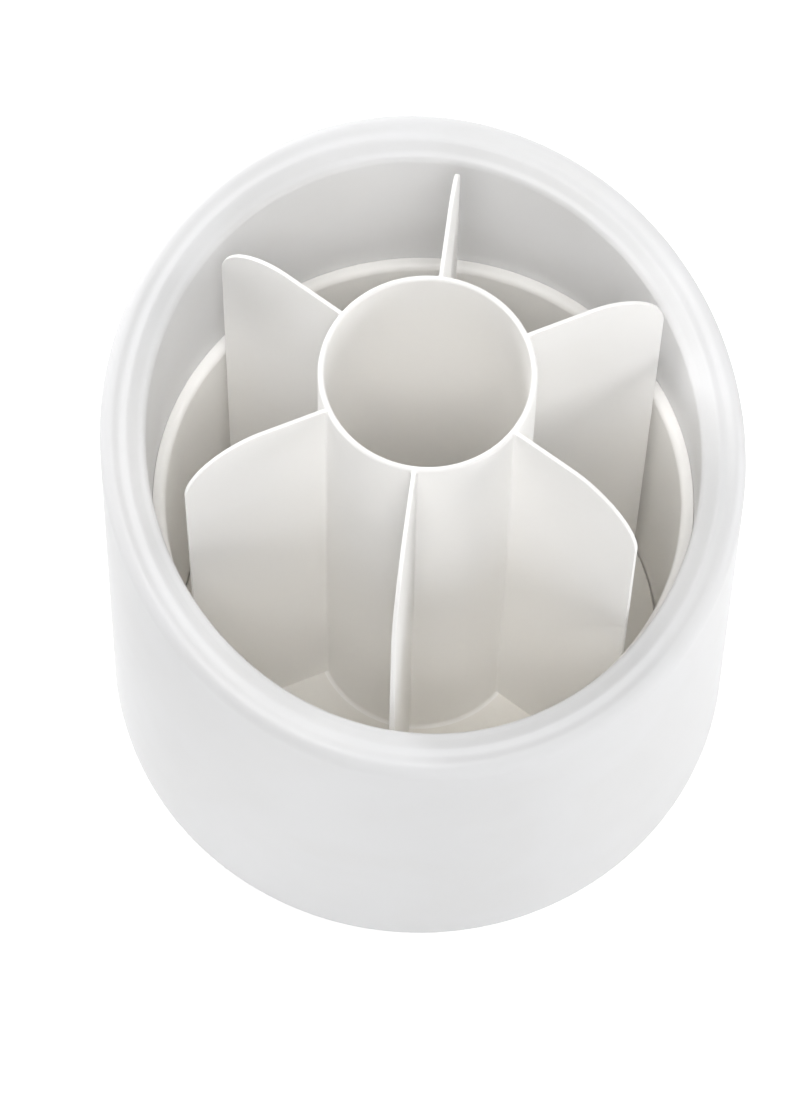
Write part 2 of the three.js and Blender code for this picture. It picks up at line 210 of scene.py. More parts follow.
class HolderFinishes(bpy.types.PropertyGroup):
    """Colours and textures of the finishes."""

    # Outside copy of the one white plastic. It is darker than the whites used inside the holder, which
    # are brighter copies of it, painted light.
    shell_white: colour("Shell white", "Colour of the moulded white plastic", (0.78, 0.782, 0.789))
    shell_warm: colour("Shell warm", "Its slightly warmer flow marks", (0.772, 0.772, 0.775))
    shell_gloss: share("Shell roughness", "Roughness of the white plastic", 0.44)
    # Painted light: a brighter copy of the shell's white for the faces inside its lip, on the same
    # moulding as the outside.
    skirt_painted_light_white: colour("Skirt white", "Colour of the shell inside its lip", (0.955, 0.943, 0.928))
    skirt_painted_light_warm: colour("Skirt warm", "Its slightly warmer flow marks", (0.947, 0.933, 0.915))
    # Painted light: the cup's white is a brighter copy of the shell's outside white.
    cup_painted_light_white: colour("Cup white", "Colour of the spinning cup's plastic", (0.95, 0.94, 0.92))
    cup_painted_light_warm: colour("Cup warm", "Its slightly warmer flow marks", (0.942, 0.93, 0.907))
    # Painted light: the divider's white is a brighter copy of the shell's outside white.
    divider_painted_light_white: colour("Divider white", "Colour of the divider's plastic", (0.96, 0.951, 0.936))
    divider_painted_light_warm: colour("Divider warm", "Its slightly warmer flow marks", (0.953, 0.943, 0.924))
    # Painted shade: a darker, warmer copy of the divider's white for the floor at the bottom of the
    # well.
    tray_painted_shade_white: colour("Tray white", "Colour of the divider's floor", (0.885, 0.87, 0.835))
    tray_painted_shade_warm: colour("Tray warm", "Its slightly warmer flow marks", (0.872, 0.853, 0.812))
    divider_gloss: share("Divider roughness", "Roughness of the divider", 0.42)
    base_white: colour("Base white", "Colour of the base plate", (0.74, 0.74, 0.725))
    base_grey: colour("Base grey", "Its duller patches", (0.69, 0.69, 0.672))
    rubber_dark: colour("Rubber", "Colour of the pads", (0.03, 0.03, 0.032))
    rubber_worn: colour("Worn rubber", "Colour of the pads' worn patches", (0.07, 0.07, 0.07))
    zinc: colour("Zinc", "Colour of the plated screws", (0.62, 0.63, 0.64))
    zinc_dull: colour("Dull zinc", "Their duller patches", (0.5, 0.51, 0.53))
    ball_steel: colour("Ball steel", "Colour of the polished balls", (0.66, 0.67, 0.69))
    cage_natural: colour("Cage plastic", "Colour of the ball cage", (0.72, 0.71, 0.64))
    cage_shade: colour("Cage shade", "Its darker flow marks", (0.66, 0.65, 0.57))
    grain: length("Grain", "Size of the moulded plastic's fine grain", 0.35 * MM)
    flow: length("Flow", "Size of the moulded plastic's flow marks", 30 * MM)


class HolderStage(bpy.types.PropertyGroup):
    """Camera, lamps and floor."""

    lens: FloatProperty(name="Lens", description="Focal length in millimetres", default=138.3)
    distance: length("Distance", "From the camera to the aim point", 804.3 * MM)
    elevation: angle("Elevation", "Height of the camera seen from the aim point", 65.18)
    aim_side: length("Aim side", "Aim point to the right of the turning axis", -4.2 * MM)
    aim_height: length("Aim height", "Height of the aim point", 72 * MM)
    nod: angle("Nod", "How much further down the camera looks", 0.58)
    roll: angle("Roll", "Turn of the camera about its own axis", 1.38)
    key_power: power("Key", "Power of the lamp beside the camera", 9.4)
    right_power: power("Right", "Power of the low lamp on the right", 6.2)
    left_power: power("Left", "Power of the low lamp on the left", 1.2)
    back_power: power("Back", "Power of the lamp behind on the left", 12.0)
    front_power: power("Front", "Power of the low lamp in front", 3.0)
    lamp_size: length("Lamp size", "Width of each round lamp", 0.7)
    world_level: FloatProperty(name="World", description="Strength of the world's light", default=0.05)
    floor_colour: colour("Floor", "Colour of the floor", (0.86, 0.86, 0.86))
    floor_glow: share("Floor glow", "Extra light the floor shows to camera and mirror rays", 0.5)


# ---- node wiring ----

class Wiring:
    """Short hand for making and joining nodes in one tree."""

    def __init__(self, tree):
        self.tree = tree
        self.start = tree.nodes.new("NodeGroupInput")
        self.end = tree.nodes.new("NodeGroupOutput")

    def node(self, kind, inputs=None, **settings):
        made = self.tree.nodes.new(kind)
        for key, value in settings.items():
            setattr(made, key, value)
        for key, value in (inputs or {}).items():
            self.feed(made.inputs[key], value)
        return made

    def feed(self, socket, value):
        if isinstance(value, bpy.types.NodeSocket):
            self.tree.links.new(value, socket)
        elif isinstance(value, bpy.types.Node):
            self.tree.links.new(value.outputs[0], socket)
        else:
            socket.default_value = value

    def math(self, operation, a, b=0.0):
        return self.node("ShaderNodeMath", {0: a, 1: b}, operation=operation).outputs[0]


def sockets(tree, wanted, side):
    """Adds named sockets of (name, kind, default) to a tree's interface."""
    for name, kind, default in wanted:
        made = tree.interface.new_socket(name=name, in_out=side, socket_type="NodeSocket" + kind)
        if default is not None:
            made.default_value = default


def turned_tree():
    """Turns a profile of radius and height about +Z, and slants it by each point's share."""
    tree = bpy.data.node_groups.get("Turned piece")
    if tree:
        return tree
    tree = bpy.data.node_groups.new("Turned piece", "GeometryNodeTree")
    sockets(tree, [
        ("Profile", "Geometry", None), ("Segments", "Int", 96), ("Slant X", "Float", 0.0),
        ("Slant Y", "Float", 0.0), ("Finish", "Material", None),
    ], "INPUT")
    sockets(tree, [("Piece", "Geometry", None)], "OUTPUT")
    w = Wiring(tree)
    profile = w.start.outputs["Profile"]
    segments = w.start.outputs["Segments"]
    rows = w.node("GeometryNodeAttributeDomainSize", {"Geometry": profile}).outputs["Point Count"]
    grid = w.node("GeometryNodeMeshGrid", {
        "Vertices X": w.math("ADD", segments, 1.0), "Vertices Y": rows,
    })
    index = w.node("GeometryNodeInputIndex").outputs[0]
    column = w.math("FLOOR", w.math("DIVIDE", w.math("ADD", index, 0.5), rows))
    row = w.math("SUBTRACT", index, w.math("MULTIPLY", column, rows))
    place = w.node("GeometryNodeSampleIndex", {
        "Geometry": profile, "Value": w.node("GeometryNodeInputPosition"), "Index": row,
    }, data_type="FLOAT_VECTOR")
    lean = w.node("GeometryNodeSampleIndex", {
        "Geometry": profile, "Index": row,
        "Value": w.node("GeometryNodeInputNamedAttribute", {"Name": "slant_share"}),
    }, data_type="FLOAT").outputs[0]
    parts = w.node("ShaderNodeSeparateXYZ", {0: place.outputs[0]})
    turn = w.math("DIVIDE", w.math("MULTIPLY", column, 2 * math.pi), segments)
    x = w.math("MULTIPLY", parts.outputs["X"], w.math("COSINE", turn))
    y = w.math("MULTIPLY", parts.outputs["X"], w.math("SINE", turn))
    across = w.math("MULTIPLY", x, w.start.outputs["Slant X"])
    along = w.math("MULTIPLY", y, w.start.outputs["Slant Y"])
    rise = w.math("MULTIPLY", lean, w.math("ADD", across, along))
    spot = w.node("ShaderNodeCombineXYZ", {
        "X": x, "Y": y, "Z": w.math("ADD", parts.outputs["Z"], rise),
    })
    placed = w.node("GeometryNodeSetPosition", {"Geometry": grid, "Position": spot})
    closed = w.node("GeometryNodeMergeByDistance", {"Geometry": placed, "Distance": 0.000001})
    smooth = w.node("GeometryNodeSetShadeSmooth", {"Geometry": closed})
    real = w.node("GeometryNodeRealizeInstances", {"Geometry": smooth})
    dressed = w.node("GeometryNodeSetMaterial", {
        "Geometry": real, "Material": w.start.outputs["Finish"],
    })
    w.feed(w.end.inputs["Piece"], dressed)
    return tree


def ring_tree():
    """Repeats one piece round the +Z axis."""
    tree = bpy.data.node_groups.get("Ring of copies")
    if tree:
        return tree
    tree = bpy.data.node_groups.new("Ring of copies", "GeometryNodeTree")
    sockets(tree, [
        ("Piece", "Geometry", None), ("Count", "Int", 4), ("First angle", "Float", 0.0),
        ("Finish", "Material", None),
    ], "INPUT")
    sockets(tree, [("Ring", "Geometry", None)], "OUTPUT")
    w = Wiring(tree)
    count = w.start.outputs["Count"]
    points = w.node("GeometryNodePoints", {"Count": count})
    step = w.math("DIVIDE", 2 * math.pi, count)
    index = w.node("GeometryNodeInputIndex").outputs[0]
    turn = w.math("ADD", w.math("MULTIPLY", index, step), w.start.outputs["First angle"])
    copies = w.node("GeometryNodeInstanceOnPoints", {
        "Points": points, "Instance": w.start.outputs["Piece"],
        "Rotation": w.node("ShaderNodeCombineXYZ", {"Z": turn}).outputs[0],
    })
    real = w.node("GeometryNodeRealizeInstances", {"Geometry": copies})
    dressed = w.node("GeometryNodeSetMaterial", {
        "Geometry": real, "Material": w.start.outputs["Finish"],
    })
    w.feed(w.end.inputs["Ring"], dressed)
    return tree


def baked(mesh, tree, values):
    """The plain mesh that a node tree makes of a mesh, its inputs set by identifier."""
    holder = bpy.data.objects.new("work", mesh)
    bpy.context.scene.collection.objects.link(holder)
    modifier = holder.modifiers.new("Nodes", "NODES")
    modifier.node_group = tree
    identifiers = {
        item.name: item.identifier for item in tree.interface.items_tree
        if item.item_type == "SOCKET" and item.in_out == "INPUT"
    }
    for name, value in values.items():
        modifier[identifiers[name]] = value
    return applied(holder)


def applied(holder):
    """The evaluated mesh of a work object, which is then removed."""
    bpy.context.view_layer.update()
    graph = bpy.context.evaluated_depsgraph_get()
    result = bpy.data.meshes.new_from_object(holder.evaluated_get(graph))
    bpy.data.objects.remove(holder)
    return result


# ---- mesh helpers ----

def turned(profile, finish, segments=96, slant=(0.0, 0.0), closed=False):
    """Mesh turned from points of (radius, height) or (radius, height, slant share)."""
    points = [tuple(p) + (0.0,) * (3 - len(p)) for p in profile]
    if closed:
        points.append(points[0])
    line = bpy.data.meshes.new("profile")
    line.from_pydata([(r, 0.0, z) for r, z, _ in points],
                     [(i, i + 1) for i in range(len(points) - 1)], [])
    lean = line.attributes.new("slant_share", "FLOAT", "POINT")
    for item, (_, _, value) in zip(lean.data, points):
        item.value = value
    mesh = baked(line, turned_tree(), {
        "Segments": segments, "Slant X": slant[0], "Slant Y": slant[1], "Finish": finish,
    })
    left = mesh.attributes.get("slant_share")
    if left:
        mesh.attributes.remove(left)
    return outward(mesh)


def ring_of(mesh, count, first, finish):
    """Copies of a mesh round the +Z axis, as one mesh."""
    return baked(mesh, ring_tree(), {"Count": count, "First angle": first, "Finish": finish})


def outward(mesh):
    """Merges doubles, drops empty faces and turns every face outwards."""
    work = bmesh.new()
    work.from_mesh(mesh)
    bmesh.ops.remove_doubles(work, verts=work.verts, dist=0.000001)
    bmesh.ops.dissolve_degenerate(work, dist=0.0000005, edges=work.edges)
    bmesh.ops.recalc_face_normals(work, faces=work.faces)
    work.to_mesh(mesh)
    work.free()
    return mesh


def arc(r, z, radius, start, stop, steps=8):
    """Points of a circular arc, angles in degrees."""
    turns = [math.radians(start + (stop - start) * i / steps) for i in range(steps + 1)]
    return [(r + radius * math.cos(a), z + radius * math.sin(a)) for a in turns]


def joined(*meshes):
    """Several meshes as one."""
    work = bmesh.new()
    for mesh in meshes:
        work.from_mesh(mesh)
    result = bpy.data.meshes.new("joined")
    for material in meshes[0].materials:
        result.materials.append(material)
    work.to_mesh(result)
    work.free()
    return result


def moved(mesh, offset=(0.0, 0.0, 0.0), turn=0.0):
    """The mesh turned about +Z after a shift."""
    mesh.transform(Matrix.Rotation(turn, 4, "Z") @ Matrix.Translation(Vector(offset)))
    return mesh


def block(size, centre, rounding, finish):
    """Box with rounded edges."""
    work = bmesh.new()
    bmesh.ops.create_cube(work, size=1.0)
    bmesh.ops.scale(work, vec=Vector(size), verts=work.verts)
    if rounding:
        bmesh.ops.bevel(work, geom=work.edges[:], offset=rounding, segments=3, profile=0.5,
                        affect="EDGES")
    bmesh.ops.translate(work, vec=Vector(centre), verts=work.verts)
    mesh = bpy.data.meshes.new("block")
    work.to_mesh(mesh)
    work.free()
    mesh.materials.append(finish)
    return mesh


def cut(mesh, cutter):
    """The mesh with another one cut out of it."""
    holder = bpy.data.objects.new("work", mesh)
    tool = bpy.data.objects.new("tool", cutter)
    for item in (holder, tool):
        bpy.context.scene.collection.objects.link(item)
    modifier = holder.modifiers.new("Cut", "BOOLEAN")
    modifier.operation = "DIFFERENCE"
    modifier.solver = "EXACT"
    modifier.object = tool
    result = applied(holder)
    bpy.data.objects.remove(tool)
    return outward(result)


def finished(name, mesh, body, replaced=(), crease=32.0):
    """Puts a mesh in the scene as a piece that rides on a body."""
    mesh.shade_smooth()
    mesh.set_sharp_from_angle(angle=math.radians(crease))
    mesh.name = name
    piece = bpy.data.objects.new(name, mesh)
    bpy.context.scene.collection.objects.link(piece)
    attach(piece, body)
    if replaced:
        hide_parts(*replaced)
    return piece


# ---- finishes ----

def moulded_group():
    """Fine grain, flow marks and smudges of a moulded or plated surface."""
    tree = bpy.data.node_groups.get("Moulded skin")
    if tree:
        return tree
    tree = bpy.data.node_groups.new("Moulded skin", "ShaderNodeTree")
    sockets(tree, [
        ("Grain size", "Float", 0.0004), ("Flow size", "Float", 0.03),
        ("Smudge size", "Float", 0.012), ("Grain depth", "Float", 1.0),
    ], "INPUT")
    sockets(tree, [("Grain", "Float", None), ("Flow", "Float", None), ("Smudge", "Float", None)],
            "OUTPUT")
    w = Wiring(tree)
    place = w.node("ShaderNodeTexCoord").outputs["Object"]
    sizes = {k: w.math("DIVIDE", 1.0, w.start.outputs[k])
             for k in ("Grain size", "Flow size", "Smudge size")}
    grain = w.node("ShaderNodeTexNoise", {
        "Vector": place, "Scale": sizes["Grain size"], "Detail": 2.0, "Roughness": 0.55,
    })
    w.feed(w.end.inputs["Grain"], w.math("MULTIPLY", grain.outputs[0], w.start.outputs["Grain depth"]))
    flow = w.node("ShaderNodeTexNoise", {
        "Vector": place, "Scale": sizes["Flow size"], "Detail": 3.0, "Distortion": 1.2,
    })
    soft = w.node("ShaderNodeMapRange", {
        "Value": flow.outputs[0], "From Min": 0.35, "From Max": 0.65,
    }, interpolation_type="SMOOTHSTEP")
    w.feed(w.end.inputs["Flow"], soft)
    smudge = w.node("ShaderNodeTexNoise", {
        "Vector": place, "Scale": sizes["Smudge size"], "Detail": 4.0, "Roughness": 0.6,
    })
    patch = w.node("ShaderNodeMapRange", {
        "Value": smudge.outputs[0], "From Min": 0.42, "From Max": 0.7,
    }, interpolation_type="SMOOTHSTEP")
    w.feed(w.end.inputs["Smudge"], patch)
    return tree


def dust_group():
    """Mask of fine dust that settles on faces that look up."""
    tree = bpy.data.node_groups.get("Settled dust")
    if tree:
        return tree
    tree = bpy.data.node_groups.new("Settled dust", "ShaderNodeTree")
    sockets(tree, [("Speck size", "Float", 0.0012), ("Amount", "Float", 0.2)], "INPUT")
    sockets(tree, [("Dust", "Float", None)], "OUTPUT")
    w = Wiring(tree)
    place = w.node("ShaderNodeTexCoord").outputs["Object"]
    up = w.node("ShaderNodeSeparateXYZ", {0: w.node("ShaderNodeNewGeometry").outputs["Normal"]})
    level = w.node("ShaderNodeMapRange", {
        "Value": up.outputs["Z"], "From Min": 0.6, "From Max": 0.98,
    })
    speck = w.node("ShaderNodeTexNoise", {
        "Vector": place, "Scale": w.math("DIVIDE", 1.0, w.start.outputs["Speck size"]),
        "Detail": 5.0, "Roughness": 0.7,
    })
    mask = w.node("ShaderNodeMapRange", {
        "Value": speck.outputs[0], "From Min": 0.5, "From Max": 0.72,
    })
    amount = w.math("MULTIPLY", w.math("MULTIPLY", level.outputs[0], mask.outputs[0]),
                    w.start.outputs["Amount"])
    w.feed(w.end.inputs["Dust"], amount)
    return tree


def finish_of(name, light, dark, rough, grain, flow, bump, dust=0.0, smudge=0.12, **fixed):
    """Material from two near colours, grain bump, smudged gloss and settled dust."""
    material = bpy.data.materials.get(name)
    if material:
        return material
    material = bpy.data.materials.new(name)
    material.use_nodes = True
    tree = material.node_tree
    shader = tree.nodes["Principled BSDF"]
    for socket, value in fixed.items():
        shader.inputs[socket.replace("_", " ")].default_value = value
    skin = tree.nodes.new("ShaderNodeGroup")
    skin.node_tree = moulded_group()
    skin.inputs["Grain size"].default_value = grain
    skin.inputs["Flow size"].default_value = flow
    tone = tree.nodes.new("ShaderNodeMix")
    tone.data_type = "RGBA"
    tone.inputs["A"].default_value = (*light, 1.0)
    tone.inputs["B"].default_value = (*dark, 1.0)
    tree.links.new(skin.outputs["Flow"], tone.inputs["Factor"])
    settled = tree.nodes.new("ShaderNodeGroup")
    settled.node_tree = dust_group()
    settled.inputs["Amount"].default_value = dust
    dusty = tree.nodes.new("ShaderNodeMix")
    dusty.data_type = "RGBA"
    dusty.inputs["B"].default_value = (0.5, 0.48, 0.45, 1.0)
    tree.links.new(settled.outputs["Dust"], dusty.inputs["Factor"])
    tree.links.new(tone.outputs["Result"], dusty.inputs["A"])
    tree.links.new(dusty.outputs["Result"], shader.inputs["Base Color"])
    gloss = tree.nodes.new("ShaderNodeMapRange")
    gloss.inputs["To Min"].default_value = rough
    gloss.inputs["To Max"].default_value = min(1.0, rough + smudge)
    tree.links.new(skin.outputs["Smudge"], gloss.inputs["Value"])
    tree.links.new(gloss.outputs[0], shader.inputs["Roughness"])
    relief = tree.nodes.new("ShaderNodeBump")
    relief.inputs["Strength"].default_value = 1.0
    relief.inputs["Distance"].default_value = bump
    tree.links.new(skin.outputs["Grain"], relief.inputs["Height"])
    tree.links.new(relief.outputs[0], shader.inputs["Normal"])
    return material


def shell_plastic():
    look = bpy.context.scene.holder_finishes
    return finish_of("shell_plastic", look.shell_white, look.shell_warm, look.shell_gloss,
                     look.grain, look.flow, 0.006 * MM, smudge=0.06)


# Painted light: the shell's plastic again with a brighter white, for the faces inside the lip.
def skirt_plastic():
    look = bpy.context.scene.holder_finishes
    return finish_of("skirt_plastic", look.skirt_painted_light_white, look.skirt_painted_light_warm, look.shell_gloss,
                     look.grain, look.flow, 0.006 * MM, smudge=0.06)


# Painted light: the white plastic with a brighter white, for the cup inside the holder.
def cup_plastic():
    look = bpy.context.scene.holder_finishes
    return finish_of("cup_plastic", look.cup_painted_light_white, look.cup_painted_light_warm, look.shell_gloss,
                     look.grain, look.flow, 0.006 * MM, smudge=0.06)


# Painted light: the white plastic with a brighter white, for the divider's tube and fins.
def divider_plastic():
    look = bpy.context.scene.holder_finishes
    return finish_of("divider_plastic", look.divider_painted_light_white, look.divider_painted_light_warm, look.divider_gloss,
                     look.grain * 0.8, look.flow * 0.7, 0.008 * MM, dust=0.02, smudge=0.08)


# Painted shade: the divider's plastic with a darker, warmer white, for its floor.
def tray_plastic():
    look = bpy.context.scene.holder_finishes
    return finish_of("tray_plastic", look.tray_painted_shade_white, look.tray_painted_shade_warm, look.divider_gloss,
                     look.grain * 0.8, look.flow * 0.7, 0.008 * MM, dust=0.04, smudge=0.08)


def base_plastic():
    look = bpy.context.scene.holder_finishes
    return finish_of("base_plastic", look.base_white, look.base_grey, 0.55,
                     look.grain * 1.5, look.flow, 0.03 * MM, smudge=0.15)


def pad_rubber():
    look = bpy.context.scene.holder_finishes
    return finish_of("pad_rubber", look.rubber_dark, look.rubber_worn, 0.75,
                     0.6 * MM, 3 * MM, 0.06 * MM, smudge=0.2)


def screw_zinc():
    look = bpy.context.scene.holder_finishes
    return finish_of("screw_zinc", look.zinc, look.zinc_dull, 0.28,
                     0.15 * MM, 2 * MM, 0.004 * MM, smudge=0.2, Metallic=1.0)


def ball_steel():
    look = bpy.context.scene.holder_finishes
    return finish_of("ball_steel", look.ball_steel, look.zinc, 0.1,
                     0.1 * MM, 1.5 * MM, 0.001 * MM, smudge=0.1, Metallic=1.0)


def cage_plastic():
    look = bpy.context.scene.holder_finishes
    return finish_of("cage_plastic", look.cage_natural, look.cage_shade, 0.5,
                     look.grain, 12 * MM, 0.01 * MM)


# ---- housing ----

def slant_of(sizes):
    """Rise of the mouth's plane along X and along Y."""
    return (-sizes.slant * math.sin(sizes.slant_turn), sizes.slant * math.cos(sizes.slant_turn))


def lip_profile(s):
    """Upper face of the lip, from the foot of the outer bead to the inner edge."""
    crest = s.mouth_radius - s.bead_width
    inner = s.mouth_radius - s.lip_width
    height = s.lip_height

    def on_plane(r, t):
        return (r, height + t, 1.0)

    bead = [
        on_plane(crest + s.bead_width * math.cos(a), s.bead_drop * (math.sin(a) - 1.0))
        for a in (math.pi / 2 * i / 12 for i in range(13))
    ]
    steps = 10
    groove = []
    for i in range(1, steps + 1):
        u = i / steps
        dip = math.sin(math.pi * min(1.0, u * 1.05)) ** 2 * s.groove_depth * 0.6
        fall = 0.4 * s.groove_depth * u
        groove.append(on_plane(crest - s.groove_width * u, -dip - fall))
    start_r = crest - s.groove_width
    start_t = -0.4 * s.groove_depth
    edge_r = inner + s.edge_round
    edge_t = -s.lip_fall
    band = [
        on_plane(start_r + (edge_r - start_r) * u, start_t + (edge_t - start_t) * u)
        for u in (0.25, 0.5, 0.75)
    ]
    edge = [
        on_plane(edge_r - s.edge_round * math.sin(a), edge_t - s.edge_round * (1 - math.cos(a)))
        for a in (math.pi / 2 * i / 5 for i in range(6))
    ]
    return bead + groove + band + edge


class HOLDER_OT_shell(bpy.types.Operator):
    """Makes the fixed outer shell with its slanted lip and the bosses inside it"""

    bl_idname = "holder.make_shell"
    bl_label = "Outer shell"

    def execute(self, context):
        s = context.scene.holder_shell
        finish = shell_plastic()
        skirt_in = s.mouth_radius - s.lip_width
        skirt_out = skirt_in + s.skirt_wall
        skirt_low = CUP_HIGH[2] - s.skirt_overlap
        wall_in = s.mouth_radius - s.wall
        foot_in = s.foot_radius - s.wall - 0.2 * MM
        under = s.lip_height - s.lip_thickness
        foot = arc(s.foot_radius - s.foot_round, s.foot_lift + s.foot_round, s.foot_round,
                   -90, 0, 10)
        profile = [
            (foot_in, s.foot_lift),
            *foot,
            *lip_profile(s),
            (skirt_in, skirt_low + 0.3 * MM),
            (skirt_in + 0.3 * MM, skirt_low),
            (skirt_out - 0.3 * MM, skirt_low),
            (skirt_out, skirt_low + 0.3 * MM),
            (skirt_out, under - 1 * MM, 1.0),
            (skirt_out + 1 * MM, under, 1.0),
            (wall_in - 1.2 * MM, under, 1.0),
            (wall_in, under - 1.2 * MM, 1.0),
        ]
        body = turned(profile, finish, 192, slant_of(s), closed=True)
        # The faces inside the lip take a brighter copy of the shell's white, painted light on the same
        # moulding.
        body.materials.append(skirt_plastic())
        for face in body.polygons:
            if face.center.xy.length < skirt_in + 0.3 * MM:
                face.material_index = 1
        boss_low = PLATE_LOW[2] + 2.9 * MM
        pilot = PILOT_RADIUS
        boss = turned([
            (pilot, boss_low + 0.4 * MM),
            (pilot + 0.4 * MM, boss_low),
            (s.boss_radius, boss_low),
            (s.boss_radius, boss_low + s.boss_height),
            (0.0, boss_low + s.boss_height),
            (0.0, boss_low + 10 * MM),
            (pilot, boss_low + 10 * MM),
            (pilot, boss_low + 0.4 * MM),
        ], finish, 32)
        bosses = ring_of(moved(boss, (SCREW_CIRCLE, 0, 0)), SCREW_COUNT, 0.0, finish)
        finished("shell_body", body, "housing", ["outer_shell"])
        finished("shell_bosses", bosses, "housing")
        return {"FINISHED"}


def track_groove(s, face, rising):
    """Half-round groove for the balls, opening up when rising is true."""
    reach = s.ball_radius + s.ball_clear
    edge = math.degrees(math.asin(abs(face - BALL_MIDDLE) / reach))
    start, stop = (360 - edge, 180 + edge) if rising else (180 - edge, edge)
    return arc(s.track_radius, BALL_MIDDLE, reach, start, stop, 10)


class HOLDER_OT_base(bpy.types.Operator):
    """Makes the base plate with its track, pockets and screw holes"""

    bl_idname = "holder.make_base"
    bl_label = "Base plate"

    def execute(self, context):
        s = context.scene.holder_cup
        finish = base_plastic()
        low = PLATE_LOW[2]
        top = PLATE_HIGH[2] - HUB_RISE
        hole = s.spigot_radius + 0.06 * MM
        recess = WASHER_HIGH[0] + 0.6 * MM
        roof = CUP_LOW[2]
        track = top + 1 * MM
        half = s.track_half_width
        edge = PLATE_HIGH[0]
        plate = turned([
            (hole, roof),
            (recess, roof),
            (recess, low + 0.3 * MM),
            (recess + 0.3 * MM, low),
            (edge - 0.3 * MM, low),
            (edge, low + 0.3 * MM),
            (edge, top - 0.3 * MM),
            (edge - 0.3 * MM, top),
            (s.track_radius + half, top),
            (s.track_radius + half, track),
            *track_groove(s, track, True),
            (s.track_radius - half, track),
            (s.track_radius - half, top),
            (9.2 * MM, top),
            (9.2 * MM, PLATE_HIGH[2]),
            (hole, PLATE_HIGH[2]),
        ], finish, 144, closed=True)
        roomy = (PAD_HIGH[0] - PAD_LOW[0]) / 2 + 0.3 * MM
        pocket = turned([
            (0.0, -1 * MM), (roomy, -1 * MM), (roomy, PAD_HIGH[2] + 0.3 * MM),
            (0.0, PAD_HIGH[2] + 0.3 * MM),
        ], finish, 48)
        pockets = ring_of(moved(pocket, (PAD_CIRCLE, 0, 0)), PAD_COUNT, PAD_TURN, finish)
        sink = turned([
            (0.0, -1 * MM), (3.0 * MM, -1 * MM), (3.0 * MM, low + 1.5 * MM),
            (PILOT_RADIUS, low + 1.5 * MM), (PILOT_RADIUS, top + 1 * MM), (0.0, top + 1 * MM),
        ], finish, 40)
        sinks = ring_of(moved(sink, (SCREW_CIRCLE, 0, 0)), SCREW_COUNT, 0.0, finish)
        plate = cut(cut(plate, pockets), sinks)
        finished("base_disc", plate, "housing", ["base_plate"])
        return {"FINISHED"}


class HOLDER_OT_pads(bpy.types.Operator):
    """Makes the rubber pads that the holder stands on"""

    bl_idname = "holder.make_pads"
    bl_label = "Rubber pads"

    def execute(self, context):
        finish = pad_rubber()
        radius = (PAD_HIGH[0] - PAD_LOW[0]) / 2
        top = PAD_HIGH[2]
        rings = []
        for i in range(3):
            r = radius * (0.78 - 0.24 * i)
            rings += [(r, 0.0), (r - 0.25 * MM, 0.25 * MM), (r - 0.6 * MM, 0.25 * MM),
                      (r - 0.85 * MM, 0.0)]
        pad = turned([
            (0.0, top),
            (radius - 0.2 * MM, top),
            (radius, top - 0.2 * MM),
            *[(r, z) for r, z in arc(radius - 0.6 * MM, 0.6 * MM, 0.6 * MM, 0, -90, 6)],
            *rings,
            (0.0, 0.0),
        ], finish, 64)
        ring = ring_of(moved(pad, (PAD_CIRCLE, 0, 0)), PAD_COUNT, PAD_TURN, finish)
        finished("rubber_pads", ring, "housing",
                 [f"foot_pad_{i}" for i in range(1, PAD_COUNT + 1)])
        return {"FINISHED"}


def screw_mesh(low, high, head_radius, head_height, shank_radius, finish):
    """Pan-head screw, head down, with ridged shank and a cross recess."""
    start = low + head_height
    pitch = 0.9 * MM
    profile = [
        (0.0, low),
        (head_radius * 0.55, low),
        (head_radius * 0.86, low + head_height * 0.18),
        (head_radius * 0.98, low + head_height * 0.5),
        (head_radius, low + head_height * 0.8),
        (head_radius * 0.98, start),
        (shank_radius * 0.8, start),
    ]
    z = start + 0.3 * MM
    while z < high - 1.6 * MM:
        profile += [(shank_radius * 0.8, z), (shank_radius, z + pitch * 0.4),
                    (shank_radius, z + pitch * 0.5), (shank_radius * 0.8, z + pitch * 0.9)]
        z += pitch
    profile += [(shank_radius * 0.7, high - 0.9 * MM), (shank_radius * 0.25, high), (0.0, high)]
    body = turned(profile, finish, 40)
    arm = head_radius * 1.15
    width = head_radius * 0.22
    deep = head_height * 0.6
    cross = [block((arm, width, deep * 2), (0, 0, low), 0.0, finish)]
    cross.append(moved(block((arm, width, deep * 2), (0, 0, low), 0.0, finish),
                       turn=math.pi / 2))
    for tool in cross:
        body = cut(body, tool)
    return body


